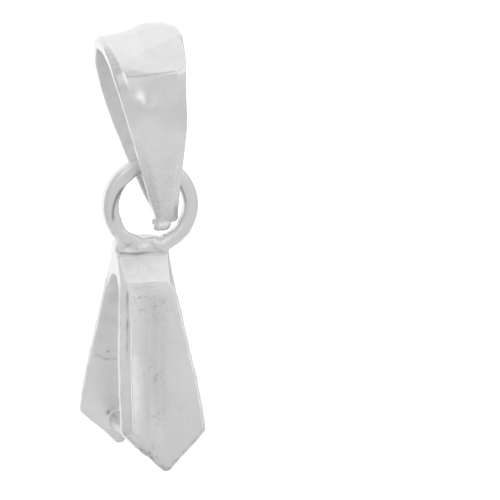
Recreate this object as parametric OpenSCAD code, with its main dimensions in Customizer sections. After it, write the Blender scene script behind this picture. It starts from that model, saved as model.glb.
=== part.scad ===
// Pinch bail for a pendant: a teardrop loop for the chain, linked through a jump ring
// that is soldered on a sprung clip with two kite-shaped leaves and two inward prongs.
// Millimetres. X runs along the chain, the front leaf faces -Y, Z is up.
// The origin is the middle of the loop's inside top, where the chain runs.

/* [Loop] */
// Height of the teardrop loop, over all
loop_h = 9.8; // [8:0.1:14]
// Depth of the loop from front to back, over all
loop_d = 5.85; // [5:0.05:8]
// Width of the band at the top of the loop
loop_top_w = 3.95; // [3:0.05:5]
// Width of the band at the soldered tip
loop_tip_w = 1.1; // [0.8:0.05:1.3]
// How far the bent band strays sideways at its tip
loop_stray = 0.15; // [0:0.01:0.15]
// Thickness of the band at its sides
loop_wall = 0.5; // [0.35:0.01:0.65]
// Width of the bevel along each edge of the band
loop_bevel_w = 0.5; // [0.2:0.01:0.6]
// Depth of that bevel
loop_bevel_d = 0.14; // [0.05:0.01:0.2]
// Radius of the solder bead that closes the tip
bead_r = 0.28; // [0.15:0.01:0.32]
// Height of the flat filed on the front, from its crease to the top
flat_h = 1.6; // [1.2:0.05:2.2]
// Slope of that flat from the upright, in degrees
flat_slope = 37; // [30:0.5:42]
// Slant of its crease across the band, in degrees
flat_slant = 5.5; // [0:0.5:12]

/* [Jump ring] */
// Outside diameter of the jump ring
ring_d = 4.72; // [4.5:0.02:5.2]
// Thickness of its flattened wire, measured along the radius
wire_t = 0.7; // [0.5:0.01:0.74]
// Width of its flattened wire, measured along the ring's axis
wire_w = 1; // [0.7:0.01:1.1]
// Radius of the wire's rounded edges
wire_round = 0.2; // [0.1:0.01:0.24]
// How deep the ring is let into the crown of the clip
ring_sink = 0.6; // [0.4:0.01:0.75]
// How far the ring is soldered off the middle of the crown
ring_shift = 0.42; // [0:0.01:0.6]
// How far it is soldered forward of the middle of the crown
ring_forward = 0.45; // [0:0.01:0.5]

/* [Clip] */
// Height from the crown to the tips of the leaves
clip_h = 10.65; // [9.5:0.05:14]
// Spread of the two leaves, over all
clip_spread = 9.44; // [8.6:0.02:12]
// Width of the crown
crown_w = 2.64; // [2.2:0.02:3.2]
// Widest width of a leaf
leaf_w = 4.16; // [3.4:0.02:5.5]
// Thickness of a leaf along its middle
leaf_t = 0.95; // [0.8:0.01:1.1]
// Width of the bevel along each edge of a leaf
leaf_bevel_w = 0.48; // [0.2:0.01:0.6]
// Depth of that bevel
leaf_bevel_d = 0.4; // [0.2:0.01:0.45]
// How far the front leaf leans sideways at its tip
front_drift = 0.24; // [-0.4:0.01:0.4]
// How far the back leaf leans sideways at its tip
back_drift = -0.3; // [-0.4:0.01:0.4]

/* [Prongs] */
// Diameter of a prong where it leaves its leaf
prong_root_d = 1.16; // [0.9:0.01:1.25]
// Diameter of a prong where the two meet
prong_end_d = 0.98; // [0.7:0.01:1.1]
// How far the prongs dip towards the middle
prong_dip = 0.3; // [0:0.01:0.5]
// Gap between the ends of the two prongs
prong_gap = 0.12; // [0.08:0.01:0.4]

/* [Stored pose] */
// How far the loop leans forward over the ring, in degrees
lean = 2; // [0:0.5:10]
// How far the loop is rolled to the left, in degrees
roll = 9; // [0:0.5:10]
// Height of the ring's wire above the loop's tip
wire_up_loop = 3; // [2.6:0.05:3.1]
// How far the loop has slid along the ring, from the ring's middle
loop_slide = 0.27; // [0:0.01:0.3]

/* [Hidden] */
$fn = 48;
spans = 3;

// Half of the loop's outline, from the tip upwards. Columns: height as a share of loop_h,
// half depth as a share of loop_d / 2, wall as a share of loop_wall, angle of the wall,
// width as a share of the way from loop_tip_w to loop_top_w, bevel as a share of its width,
// how far the band strays sideways, as a share of loop_stray.
loop_side = [
    [0, 0.1, 1.6, 74, 0, 0.3, 1],
    [0.035, 0.145, 1.25, 61, 0.02, 0.5, 0.95],
    [0.115, 0.295, 1, 30, 0.12, 0.8, 0.65],
    [0.22, 0.5, 1, 30, 0.235, 0.9, 0.25],
    [0.33, 0.7, 1, 27, 0.365, 0.9, 0.05],
    [0.44, 0.865, 1, 20, 0.485, 0.92, 0],
    [0.55, 0.97, 0.98, 9, 0.605, 0.95, 0],
    [0.65, 1, 0.95, 0, 0.69, 1, -0.15],
    [0.74, 0.962, 0.95, -9, 0.765, 1, -0.1],
    [0.825, 0.87, 1.05, -16, 0.87, 1, 0.3],
    [0.9, 0.7, 1.15, -32, 0.925, 0.8, 0.65],
    [0.962, 0.47, 1.3, -58, 0.97, 0.6, 0.8],
    [0.994, 0.21, 1.4, -80, 0.99, 0.45, 0.8],
    [1, 0, 1.46, -90, 1, 0.4, 0.8]
];
// Half of the clip's outline, from the crown down to the tip of a leaf. Columns: drop as
// a share of clip_h, reach as a share of clip_spread / 2, thickness as a share of leaf_t,
// angle of the thickness, width as a share of the way from crown_w to leaf_w, drift as a
// share of the leaf's drift, bevel as a share of its width, bevel as a share of its depth.
crown_rows = [
    [0, 0.106, 1.8, 82, 0, 0, 0.2, 0.2],
    [0.065, 0.185, 1.18, 74, -0.03, 0, 0.22, 0.25],
    [0.172, 0.392, 0.86, 43, 0.05, 0.05, 0.6, 0.6]
];
leaf_rows = [
    [0.223, 0.451, 0.84, 33, 0.16, 0.1, 0.85, 0.8],
    [0.363, 0.589, 0.96, 18, 0.4, 0.25, 1, 1],
    [0.49, 0.69, 1, 17, 0.62, 0.45, 1, 1],
    [0.61, 0.794, 1, 18, 0.82, 0.65, 1, 1],
    [0.73, 0.886, 0.98, 18, 0.94, 0.82, 1, 1],
    [0.8, 0.934, 0.94, 16, 1, 0.9, 1, 1]
];
point_rows = [
    [0.824, 0.95, 0.88, 14, 0.96, 0.93, 1, 0.9],
    [0.875, 0.978, 0.78, 11, 0.25, 0.96, 0.9, 0.75],
    [0.93, 1, 0.68, 9, -0.62, 0.98, 0.8, 0.6],
    [0.996, 0.984, 0.55, 9, -1.64, 1, 0.2, 0.4]
];

// Where the loop and the clip are linked
loop_top_wall = loop_side[len(loop_side) - 1][2] * loop_wall;
hinge_drop = loop_h - loop_top_wall - wire_up_loop;
hinge_at = [
    hinge_drop * cos(lean) * sin(roll),
    hinge_drop * sin(lean),
    -hinge_drop * cos(lean) * cos(roll)
];
ring_r = (ring_d - wire_t) / 2;
ring_at = [ring_shift, -ring_forward, -ring_r];
crown_z = -2 * ring_r - wire_t / 2 + ring_sink;
// The clip hangs with its centre of mass, at this share of its height, under the wire
mass_drop = 0.78;
hang_tilt = atan(ring_forward / (mass_drop * clip_h));
// Where a prong leaves its leaf, as shares of clip_h and of clip_spread / 2
prong_drop = 0.888;
prong_reach = 0.885;
// Half the width of a leaf at its very tip
leaf_tip_half_w = 0.15;
// Where the flat's crease lies, as a share of loop_d / 2
crease_reach = 0.84;

// A row part of the way between two rows of a table, on a smooth curve through all
function eased(rows, i, t) =
    let (
        last = len(rows) - 1,
        a = rows[max(i - 1, 0)],
        b = rows[i],
        c = rows[min(i + 1, last)],
        d = rows[min(i + 2, last)]
    )
    0.5 * (2 * b + t * (c - a) + t * t * (2 * a - 5 * b + 4 * c - d)
        + t * t * t * (3 * b - a - 3 * c + d));

function smooth(rows) = [
    for (i = [0 : len(rows) - 2], k = [0 : spans - 1]) eased(rows, i, k / spans),
    rows[len(rows) - 1]
];

function reversed(list) = [for (i = [len(list) - 1 : -1 : 0]) list[i]];

// A station of a bent band: outer point and inner point in the YZ plane, middle in X,
// half width, bevel width and bevel depth
function loop_station(row, side) =
    let (
        outer = [side * row[1] * loop_d / 2, row[0] * loop_h],
        wall = row[2] * loop_wall,
        inner = outer + wall * [-side * cos(row[3]), sin(row[3])],
        half_w = (loop_tip_w + row[4] * (loop_top_w - loop_tip_w)) / 2
    )
    [outer, inner, row[6] * loop_stray, half_w, row[5] * loop_bevel_w, min(loop_bevel_d, wall / 2)];

function clip_station(row, side, drift) =
    let (
        outer = [side * row[1] * clip_spread / 2, crown_z - row[0] * clip_h],
        thick = row[2] * leaf_t,
        inner = outer + thick * [-side * cos(row[3]), -sin(row[3])],
        half_w = (crown_w + row[4] * (leaf_w - crown_w)) / 2,
        width = max(half_w, leaf_tip_half_w)
    )
    [outer, inner, row[5] * drift, width, min(row[6] * leaf_bevel_w, 0.8 * width),
        min(row[7] * leaf_bevel_d, 0.6 * thick)];

// The six corners of a band at one station, bevelled on the outer face
function section(st) =
    let (
        outer = st[0],
        inner = st[1],
        shoulder = outer + st[5] * (inner - outer) / norm(inner - outer)
    )
    [
        [st[2] - st[3], inner[0], inner[1]],
        [st[2] + st[3], inner[0], inner[1]],
        [st[2] + st[3], shoulder[0], shoulder[1]],
        [st[2] + st[3] - st[4], outer[0], outer[1]],
        [st[2] - st[3] + st[4], outer[0], outer[1]],
        [st[2] - st[3], shoulder[0], shoulder[1]]
    ];

// A solid band through its stations, either closed into a loop or with two flat ends
module band(stations, closed) {
    corners = 6;
    count = len(stations);
    points = [for (st = stations, p = section(st)) p];
    joins = [
        for (i = [0 : count - (closed ? 1 : 2)], j = [0 : corners - 1])
            let (
                a = i * corners + j,
                b = i * corners + (j + 1) % corners,
                c = ((i + 1) % count) * corners + (j + 1) % corners,
                d = ((i + 1) % count) * corners + j
            )
            each [[a, b, c], [a, c, d]]
    ];
    first_end = [for (j = [corners - 1 : -1 : 0]) j];
    last_end = [for (j = [0 : corners - 1]) (count - 1) * corners + j];
    polyhedron(points, closed ? joins : concat(joins, [first_end, last_end]));
}

module loop_band() {
    half = smooth(loop_side);
    front = [for (row = half) loop_station(row, -1)];
    back = [for (i = [len(half) - 2 : -1 : 0]) loop_station(half[i], 1)];
    band(concat(front, back), true);
}

// What the file takes off the front of the loop, as a block that leaves one flat
module filed_off() {
    translate([0, -crease_reach * loop_d / 2, loop_h - flat_h])
    rotate([0, flat_slant, 0])
    rotate([-flat_slope, 0, 0])
    translate([-loop_h / 2, -loop_d, -loop_d / 2])
        cube([loop_h, loop_d, loop_h]);
}

module bail_loop() {
    color("gainsboro")
    rotate([0, -roll, 0])
    rotate([lean, 0, 0])
    translate([0, 0, loop_top_wall - loop_h])
    union() {
        difference() {
            loop_band();
            filed_off();
        }
        translate([-bead_r / 3, bead_r / 2, bead_r / 4])
            sphere(r = bead_r);
    }
}

module jump_ring() {
    straight_t = wire_t / 2 - wire_round;
    straight_w = wire_w / 2 - wire_round;
    translate(ring_at)
    rotate([90, 0, 0])
    rotate_extrude($fn = 96)
    translate([ring_r, 0]) {
        square([2 * straight_t, wire_w], center = true);
        square([wire_t, 2 * straight_w], center = true);
        for (sx = [-1, 1], sy = [-1, 1])
            translate([sx * straight_t, sy * straight_w])
                circle(r = wire_round);
    }
}

module yoke() {
    half = concat(crown_rows, smooth(leaf_rows), point_rows);
    front = [for (row = reversed(half)) clip_station(row, -1, front_drift)];
    back = [for (row = half) clip_station(row, 1, back_drift)];
    band(concat(front, back), false);
}

// A prong starts on the middle line of its leaf and aims at a point halfway between the two
module prong(side, drift) {
    reach = prong_reach * clip_spread / 2;
    root_z = crown_z - prong_drop * clip_h;
    aside = (front_drift + back_drift) / 2 - drift;
    long = norm([reach, prong_dip, aside]);
    fall = atan(prong_dip / norm([reach, aside]));
    turn = side * atan(aside / reach);
    difference() {
        translate([drift, side * reach, root_z])
        rotate([side * (90 + fall), 0, turn])
            cylinder(h = long, d1 = prong_root_d, d2 = prong_end_d);
        translate([0, -side * clip_spread / 2 + side * prong_gap / 2, root_z])
            cube([clip_spread, clip_spread, clip_h], center = true);
    }
}

module pinch_clip() {
    color("silver")
    translate(hinge_at)
    rotate([-hang_tilt, 0, 0])
    translate([-ring_shift - loop_slide, ring_forward, 0])
    union() {
        jump_ring();
        yoke();
        prong(-1, front_drift);
        prong(1, back_drift);
    }
}

bail_loop();
pinch_clip();
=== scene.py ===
# %% [markdown]
# # A silver pinch bail
# A pinch bail hangs a stone from a chain. The chain runs through a teardrop loop. A clip swings
# from the loop on its jump ring, and the two kite-shaped leaves of the clip are squeezed until
# their prongs meet inside a hole in the stone. Both pieces are cast silver. The loop was cast as
# a strip, bent round and soldered shut, and the jump ring is soldered to the clip. Both were
# filed by hand, and most of this lesson is about the marks that such work leaves.
#
# The frame that the CAD packed comes in first. It names the two bodies that move.

# %% Load the frame
import math

import bmesh
import bpy
import numpy as np
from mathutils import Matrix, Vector, noise


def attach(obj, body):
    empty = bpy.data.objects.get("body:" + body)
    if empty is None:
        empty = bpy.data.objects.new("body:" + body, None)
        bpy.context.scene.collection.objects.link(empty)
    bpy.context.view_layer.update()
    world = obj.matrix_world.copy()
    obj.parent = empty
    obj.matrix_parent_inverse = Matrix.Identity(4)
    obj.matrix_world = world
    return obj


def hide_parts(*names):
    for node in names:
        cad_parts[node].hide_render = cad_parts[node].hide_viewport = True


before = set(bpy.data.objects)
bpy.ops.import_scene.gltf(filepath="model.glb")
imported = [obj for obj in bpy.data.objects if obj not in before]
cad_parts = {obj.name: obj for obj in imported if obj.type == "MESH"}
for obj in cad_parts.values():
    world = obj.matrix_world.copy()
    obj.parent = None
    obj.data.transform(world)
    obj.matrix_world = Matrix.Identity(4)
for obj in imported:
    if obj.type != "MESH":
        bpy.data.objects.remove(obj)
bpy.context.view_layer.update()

# %% [markdown]
# ## Choosing things in code
# Every operator in Blender works on what is selected. By hand we click, and in a script we
# select by place, or by the look of a face. The habit to keep is to deselect everything first,
# because an operator acts on all that is selected, and that includes the solids just loaded.
#
# Everything is first modelled a thousand times too large, with one unit for one millimetre. A
# finding of 20 mm is easier to think about that way, and the tools like sizes near one. The
# last step in the making shrinks it to metres.

# %% Choose objects, corners, edges and faces
MM = 0.001


def clear_choice():
    """Leaves edit mode and deselects every object."""
    if bpy.context.mode != "OBJECT":
        bpy.ops.object.mode_set(mode="OBJECT")
    bpy.ops.object.select_all(action="DESELECT")


def take(piece, mode="OBJECT"):
    """Selects one piece alone and goes to the given mode."""
    clear_choice()
    piece.select_set(True)
    bpy.context.view_layer.objects.active = piece
    bpy.ops.object.mode_set(mode=mode)


def choose_all():
    """In edit mode, selects the whole mesh."""
    bpy.ops.mesh.select_all(action="SELECT")


def choose(piece, kind, test):
    """In edit mode, selects the vertices, edges or faces that pass the test."""
    bpy.ops.mesh.select_mode(type=kind)
    bpy.ops.mesh.select_all(action="DESELECT")
    mesh = bmesh.from_edit_mesh(piece.data)
    for item in {"VERT": mesh.verts, "EDGE": mesh.edges, "FACE": mesh.faces}[kind]:
        if test(item):
            item.select_set(True)
    bmesh.update_edit_mesh(piece.data)


print("objects selected after loading:", len(bpy.context.selected_objects))
clear_choice()
print("and after clearing:", len(bpy.context.selected_objects))

# %% [markdown]
# ## Applying what was done
# A modifier or a transform stays loose until it is applied. We apply each one straight away, so
# that the next tool works on the real shape, and so that the finished piece keeps its place in
# its mesh, with its object at the origin.

# %% Apply transforms and modifiers
def settle():
    """Writes the place, turn and scale of what is selected into its mesh."""
    bpy.ops.object.transform_apply(location=True, rotation=True, scale=True)


def point_outwards():
    """In edit mode, makes every face point away from the metal."""
    choose_all()
    bpy.ops.mesh.normals_make_consistent(inside=False)


def finish_with(piece, kind, **settings):
    """Adds a modifier with its settings and applies it."""
    take(piece)
    made = piece.modifiers.new(kind.title(), kind)
    for key, value in settings.items():
        setattr(made, key, value)
    bpy.ops.object.modifier_apply(modifier=made.name)


print("pieces are drawn in millimetres and shrunk by", MM, "at the end")

# %% [markdown]
# ## Sizes of the loop
# These are the sizes of the CAD source, in millimetres, so that each piece lies where its solid
# lies. H is a height, D a depth from front to back, W a width. The loop is a tapered strip, wide
# at the top and narrow at the tip, where its two ends meet. STRAY is how far a bent strip swings
# out sideways. The file took a flat off the upper front, sloping back, and a little out of
# level.

# %% Sizes of the loop
LOOP_H, LOOP_D = 9.8, 5.85
LOOP_TOP_W, LOOP_TIP_W, LOOP_STRAY = 3.95, 1.1, 0.15
LOOP_WALL = 0.5
LOOP_BEVEL_W, LOOP_BEVEL_D = 0.5, 0.14
FLAT_H, FLAT_REACH = 1.6, 0.84
FLAT_SLOPE, FLAT_SLANT = math.radians(37), math.radians(5.5)
print("loop:", LOOP_H, "mm high,", LOOP_D, "mm deep,", LOOP_TOP_W, "mm wide at the top")

# %% [markdown]
# The loop's side view is a table, from the tip at the bottom to the top. Each row is one place
# along the strip, as shares of the sizes above, so that a longer or wider loop needs no new
# table.

# %% The loop from tip to top
# height, half depth, wall, angle of the wall in degrees, width, bevel, stray
LOOP_SIDE = [
    (0, 0.1, 1.6, 74, 0, 0.3, 1),
    (0.035, 0.145, 1.25, 61, 0.02, 0.5, 0.95),
    (0.115, 0.295, 1, 30, 0.12, 0.8, 0.65),
    (0.22, 0.5, 1, 30, 0.235, 0.9, 0.25),
    (0.33, 0.7, 1, 27, 0.365, 0.9, 0.05),
    (0.44, 0.865, 1, 20, 0.485, 0.92, 0),
    (0.55, 0.97, 0.98, 9, 0.605, 0.95, 0),
    (0.65, 1, 0.95, 0, 0.69, 1, -0.15),
    (0.74, 0.962, 0.95, -9, 0.765, 1, -0.1),
    (0.825, 0.87, 1.05, -16, 0.87, 1, 0.3),
    (0.9, 0.7, 1.15, -32, 0.925, 0.8, 0.65),
    (0.962, 0.47, 1.3, -58, 0.97, 0.6, 0.8),
    (0.994, 0.21, 1.4, -80, 0.99, 0.45, 0.8),
    (1, 0, 1.46, -90, 1, 0.4, 0.8),
]
LOOP_TOP_WALL = LOOP_SIDE[-1][2] * LOOP_WALL
print("wall at the top:", round(LOOP_TOP_WALL, 2), "mm")

# %% [markdown]
# ## Sizes of the clip
# The clip is a jump ring of flattened wire, sunk a little into the crown, and two leaves that
# spread from it. T is a thickness. Only the wire's edges are rounder here than in the CAD, by
# 0.05 mm, as tumbling leaves them. DRIFT says how far the point of each leaf wanders from the
# middle, with -1 for the front leaf and 1 for the back one: no two leaves come out quite alike.

# %% Sizes of the ring and the leaves
RING_D, WIRE_T, WIRE_W, WIRE_ROUND = 4.72, 0.7, 1.0, 0.25
RING_SINK, RING_SHIFT, RING_FORWARD = 0.6, 0.42, 0.45
CLIP_H, CLIP_SPREAD = 10.65, 9.44
CROWN_W, LEAF_W, LEAF_T = 2.64, 4.16, 0.95
LEAF_BEVEL_W, LEAF_BEVEL_D = 0.48, 0.4
LEAF_TIP_HALF_W = 0.15
DRIFT = {-1: 0.24, 1: -0.3}
PRONG_ROOT_D, PRONG_END_D, PRONG_DIP, PRONG_GAP = 1.16, 0.98, 0.3, 0.12
PRONG_DROP, PRONG_REACH = 0.888, 0.885
print("clip:", CLIP_H, "mm high, spread to", CLIP_SPREAD, "mm, ring", RING_D, "mm across")

# %% The leaves from crown to point
# drop, reach, thickness, angle of it in degrees, width, drift, bevel width, bevel depth
CROWN_ROWS = [
    (0, 0.106, 1.8, 82, 0, 0, 0.2, 0.2),
    (0.065, 0.185, 1.18, 74, -0.03, 0, 0.22, 0.25),
    (0.172, 0.392, 0.86, 43, 0.05, 0.05, 0.6, 0.6),
]
LEAF_ROWS = [
    (0.223, 0.451, 0.84, 33, 0.16, 0.1, 0.85, 0.8),
    (0.363, 0.589, 0.96, 18, 0.4, 0.25, 1, 1),
    (0.49, 0.69, 1, 17, 0.62, 0.45, 1, 1),
    (0.61, 0.794, 1, 18, 0.82, 0.65, 1, 1),
    (0.73, 0.886, 0.98, 18, 0.94, 0.82, 1, 1),
    (0.8, 0.934, 0.94, 16, 1, 0.9, 1, 1),
]
POINT_ROWS = [
    (0.824, 0.95, 0.88, 14, 0.96, 0.93, 1, 0.9),
    (0.875, 0.978, 0.78, 11, 0.25, 0.96, 0.9, 0.75),
    (0.93, 1, 0.68, 9, -0.62, 0.98, 0.8, 0.6),
    (0.996, 0.984, 0.55, 9, -1.64, 1, 0.2, 0.4),
]
print("rows:", len(CROWN_ROWS), "crown,", len(LEAF_ROWS), "leaf,", len(POINT_ROWS), "point")

# %% [markdown]
# ## How it hangs
# The loop leans a little forward and rolls to the left. The ring passes through it, and its wire
# lies in the narrow end, WIRE_UP_LOOP above the tip and LOOP_SLIDE off the ring's middle. That
# place is the hinge. The ring isn't soldered over the middle of the clip's weight, so the clip
# tips back until the weight hangs under the wire: HANG_TILT is that angle.

# %% Hang the clip
LEAN, ROLL = math.radians(2), math.radians(9)
WIRE_UP_LOOP, LOOP_SLIDE, MASS_DROP = 3.0, 0.27, 0.78
RING_R = (RING_D - WIRE_T) / 2
RING_AT = Vector((RING_SHIFT, -RING_FORWARD, -RING_R))
RING_FRONT = RING_AT.y - WIRE_W / 2
CROWN_Z = -2 * RING_R - WIRE_T / 2 + RING_SINK
HANG_TILT = math.atan(RING_FORWARD / (MASS_DROP * CLIP_H))
HINGE_DROP = LOOP_H - LOOP_TOP_WALL - WIRE_UP_LOOP
HINGE_AT = HINGE_DROP * Vector((
    math.cos(LEAN) * math.sin(ROLL), math.sin(LEAN), -math.cos(LEAN) * math.cos(ROLL)))
print("hinge at", [round(v, 3) for v in HINGE_AT], "mm")

# %% [markdown]
# ## A band, station by station
# Loop and leaves are both bands of metal that go round a bend. A band could be a curve with a
# bevel, but these change their width, wall and edges all the way, so they are extruded. The
# cross-section has six corners: two inside, two at the shoulders and two outside, with the
# outer pair set in by the bevels. The rows of the tables are too few for a smooth bend, so
# `smoothed` puts more rows between them, on a curve that passes through each given row.

# %% Rows between the rows
ROWS_PER_GAP = 3


def smoothed(rows):
    """More rows, on a smooth curve through the given ones."""
    rows = [np.array(row, float) for row in rows]
    result = []
    for i in range(len(rows) - 1):
        a, b, c = rows[max(i - 1, 0)], rows[i], rows[i + 1]
        d = rows[min(i + 2, len(rows) - 1)]
        for step in range(ROWS_PER_GAP):
            t = step / ROWS_PER_GAP
            result.append(0.5 * (2 * b + t * (c - a) + t**2 * (2 * a - 5 * b + 4 * c - d)
                                 + t**3 * (3 * b - a - 3 * c + d)))
    return result + [rows[-1]]


half_loop = smoothed(LOOP_SIDE)
half_yoke = [np.array(row, float) for row in CROWN_ROWS] + smoothed(LEAF_ROWS)
half_yoke += [np.array(row, float) for row in POINT_ROWS]
print("half loop:", len(half_loop), "rows, half yoke:", len(half_yoke), "rows")

# %% One cross-section
def section(outer, inner, middle, half, bevel_w, bevel_d, right_w=None):
    """The inner, shoulder and outer pair of a band: middle, half width, y and z of each."""
    shoulder = outer + (inner - outer) * bevel_d / np.linalg.norm(inner - outer)
    right_w = bevel_w if right_w is None else right_w
    return [(middle, half, *inner), (middle, half, *shoulder),
            (middle + (bevel_w - right_w) / 2, half - (bevel_w + right_w) / 2, *outer)]


def loop_station(row, side):
    """The section of the loop for a row of LOOP_SIDE, with side -1 in front and 1 behind."""
    height, reach, wall, angle, width, bevel, stray = row
    wall, angle = wall * LOOP_WALL, math.radians(angle)
    outer = np.array((side * reach * LOOP_D / 2, height * LOOP_H))
    inner = outer + wall * np.array((-side * math.cos(angle), math.sin(angle)))
    half = (LOOP_TIP_W + width * (LOOP_TOP_W - LOOP_TIP_W)) / 2
    return section(outer, inner, stray * LOOP_STRAY, half, bevel * LOOP_BEVEL_W,
                   min(LOOP_BEVEL_D, wall / 2))


print("first inner pair:", [round(float(v), 2) for v in loop_station(half_loop[0], -1)[0]])

# %% [markdown]
# The leaves work the same way, measured down from the crown. The front leaf was filed flat
# nearly to its right edge, so its right bevel is a good deal narrower below the shoulder.

# %% A cross-section of the yoke
FILED_SHARE, SHOULDER_DROP = 0.3, 0.2


def clip_station(row, side):
    """The section of the yoke for a row of the leaf, with side -1 in front and 1 behind."""
    drop, reach, thick, angle, width, drift, bevel_w, bevel_d = row
    thick, angle = thick * LEAF_T, math.radians(angle)
    outer = np.array((side * reach * CLIP_SPREAD / 2, CROWN_Z - drop * CLIP_H))
    inner = outer + thick * np.array((-side * math.cos(angle), -math.sin(angle)))
    half = max((CROWN_W + width * (LEAF_W - CROWN_W)) / 2, LEAF_TIP_HALF_W)
    bevel_w = min(bevel_w * LEAF_BEVEL_W, 0.8 * half)
    bevel_d = min(bevel_d * LEAF_BEVEL_D, 0.6 * thick)
    right_w = FILED_SHARE * bevel_w if side < 0 and drop > SHOULDER_DROP else bevel_w
    return section(outer, inner, drift * DRIFT[side], half, bevel_w, bevel_d, right_w)


print("top inner pair:", [round(float(v), 2) for v in clip_station(half_yoke[0], -1)[0]])

# %% [markdown]
# ## Growing the band
# A band grows here as a strip does that is drawn through a plate. We start with a six-sided
# face, put each pair of its corners in a vertex group so that the pairs can be told apart after
# any number of extrusions, and extrude the face from station to station. At each station a pair
# is moved to its middle and scaled to its width.

# %% Find and move the corners of the end
def end_corners(piece):
    """The six corners of the end face that is selected now, as index pairs."""
    mesh = bmesh.from_edit_mesh(piece.data)
    mesh.verts.index_update()
    layer = mesh.verts.layers.deform.active
    pairs = [[], [], []]
    for corner in mesh.verts:
        if corner.select:
            pairs[max(corner[layer].keys())].append(corner.index)
    return pairs


def choose_corners(piece, indices):
    """Selects corners by number, and gives their places."""
    mesh = bmesh.from_edit_mesh(piece.data)
    mesh.verts.ensure_lookup_table()
    bpy.ops.mesh.select_all(action="DESELECT")
    for index in indices:
        mesh.verts[index].select_set(True)
    mesh.select_flush(True)
    return [mesh.verts[index].co.copy() for index in indices]


def fit_pair(piece, pair, target):
    """Moves and widens one pair of corners to its target."""
    middle, half, y, z = target
    a, b = choose_corners(piece, pair)
    place = Vector((middle, y, z))
    bpy.ops.transform.translate(value=place - (a + b) / 2)
    bpy.ops.transform.resize(value=(2 * half / abs(a.x - b.x), 1, 1), center_override=place)


print("pairs to fit:", 3 * (2 * len(half_loop) - 1), "in the loop and",
      3 * 2 * len(half_yoke), "in the yoke")

# %% Extrude through the stations
# a six-cornered circle, turned by 30 degrees, has its three pairs here along Y
PAIR_Y = {"inner": -0.87, "shoulder": 0, "outer": 0.87}


def grow_band(name, stations):
    """A six-sided face, extruded through all the stations."""
    clear_choice()
    bpy.ops.mesh.primitive_circle_add(vertices=6, radius=1, fill_type="NGON",
                                      rotation=(0, 0, math.pi / 6))
    band = bpy.context.active_object
    band.name = name
    settle()
    for group, y in PAIR_Y.items():
        members = [v.index for v in band.data.vertices if abs(v.co.y - y) < 0.1]
        band.vertex_groups.new(name=group).add(members, 1, "REPLACE")
    take(band, "EDIT")
    bpy.ops.mesh.select_mode(type="VERT")
    choose_all()
    for number, station in enumerate(stations):
        if number:
            bpy.ops.mesh.extrude_region_move()
        pairs = end_corners(band)
        for pair, target in zip(pairs, station):
            fit_pair(band, pair, target)
        choose_corners(band, [i for pair in pairs for i in pair])
    print(name, "grown through", len(stations), "stations")
    return band


# %% [markdown]
# ## The chain loop
# The strip grows up the front, over the top and down the back. Its two end faces then lie side
# by side at the tip, where the real strip is soldered. We take both away and bridge the two open
# rims, and the band is a closed teardrop.

# %% Grow and close the loop
loop_stations = [loop_station(row, -1) for row in half_loop]
loop_stations += [loop_station(row, 1) for row in reversed(half_loop[:-1])]
loop = grow_band("chain_loop", loop_stations)
choose(loop, "FACE", lambda f: len(f.verts) == 6)
bpy.ops.mesh.delete(type="ONLY_FACE")
choose(loop, "EDGE", lambda e: e.is_boundary)
bpy.ops.mesh.bridge_edge_loops()
point_outwards()
print("loop corners:", len(loop.data.vertices))

# %% [markdown]
# ## The filed flat
# A file takes metal off in a plane. Bisect does the same: it cuts the mesh along a plane, clears
# what lies outside and fills the cut. The plane goes through the crease under the flat and faces
# forwards and up, and it is a little out of level as a hand-held file is.

# %% File the flat
crease = Vector((0, -FLAT_REACH * LOOP_D / 2, LOOP_H - FLAT_H))
flat_up = math.sin(FLAT_SLOPE)
flat_normal = Vector((flat_up * math.sin(FLAT_SLANT), -math.cos(FLAT_SLOPE),
                      flat_up * math.cos(FLAT_SLANT)))
choose_all()
bpy.ops.mesh.bisect(plane_co=crease, plane_no=flat_normal, use_fill=True, clear_outer=True,
                    threshold=0.0001)
bpy.ops.object.mode_set(mode="OBJECT")
print("the flat faces", [round(v, 2) for v in flat_normal], "and the loop has",
      len(loop.data.vertices), "corners")

# %% [markdown]
# ## Solder at the tip
# Solder runs out round a joint in soft lumps, where the CAD has one round bead. Small balls,
# squashed a little, overlap the metal where it ran, and they are simply joined to the same
# object. Further down one remesh melts them in, so they need no neat edges.

# %% Lumps of solder
def lump(place, size):
    """A small ball of solder, squashed to its three half sizes."""
    clear_choice()
    bpy.ops.mesh.primitive_ico_sphere_add(subdivisions=3, radius=1, location=place)
    ball = bpy.context.active_object
    ball.scale = size
    settle()
    return ball


def join(piece, others):
    """Makes the others part of the piece's mesh."""
    clear_choice()
    for other in others:
        other.select_set(True)
    piece.select_set(True)
    bpy.context.view_layer.objects.active = piece
    bpy.ops.object.join()


TIP_SOLDER = [((-0.05, 0.1, 0.07), (0.28, 0.28, 0.24)),
              ((-0.05, -0.22, -0.1), (0.34, 0.24, 0.24)),
              ((-0.32, -0.24, -0.08), (0.26, 0.24, 0.22)),
              ((-0.47, -0.02, 0.14), (0.14, 0.2, 0.18))]
join(loop, [lump(place, size) for place, size in TIP_SOLDER])
print("lumps at the tip:", len(TIP_SOLDER))

# %% [markdown]
# ## The yoke of the clip
# The crown and the two leaves are one band with its bend at the top, so they grow as the loop
# did: up the front leaf, over the crown and down the back leaf. The ends stay closed here,
# because they are the points of the leaves.

# %% Grow the yoke
yoke_stations = [clip_station(row, -1) for row in reversed(half_yoke)]
yoke_stations += [clip_station(row, 1) for row in half_yoke]
clip = grow_band("pinch_clip_silver", yoke_stations)
point_outwards()
bpy.ops.object.mode_set(mode="OBJECT")
print("yoke corners:", len(clip.data.vertices))

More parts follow.
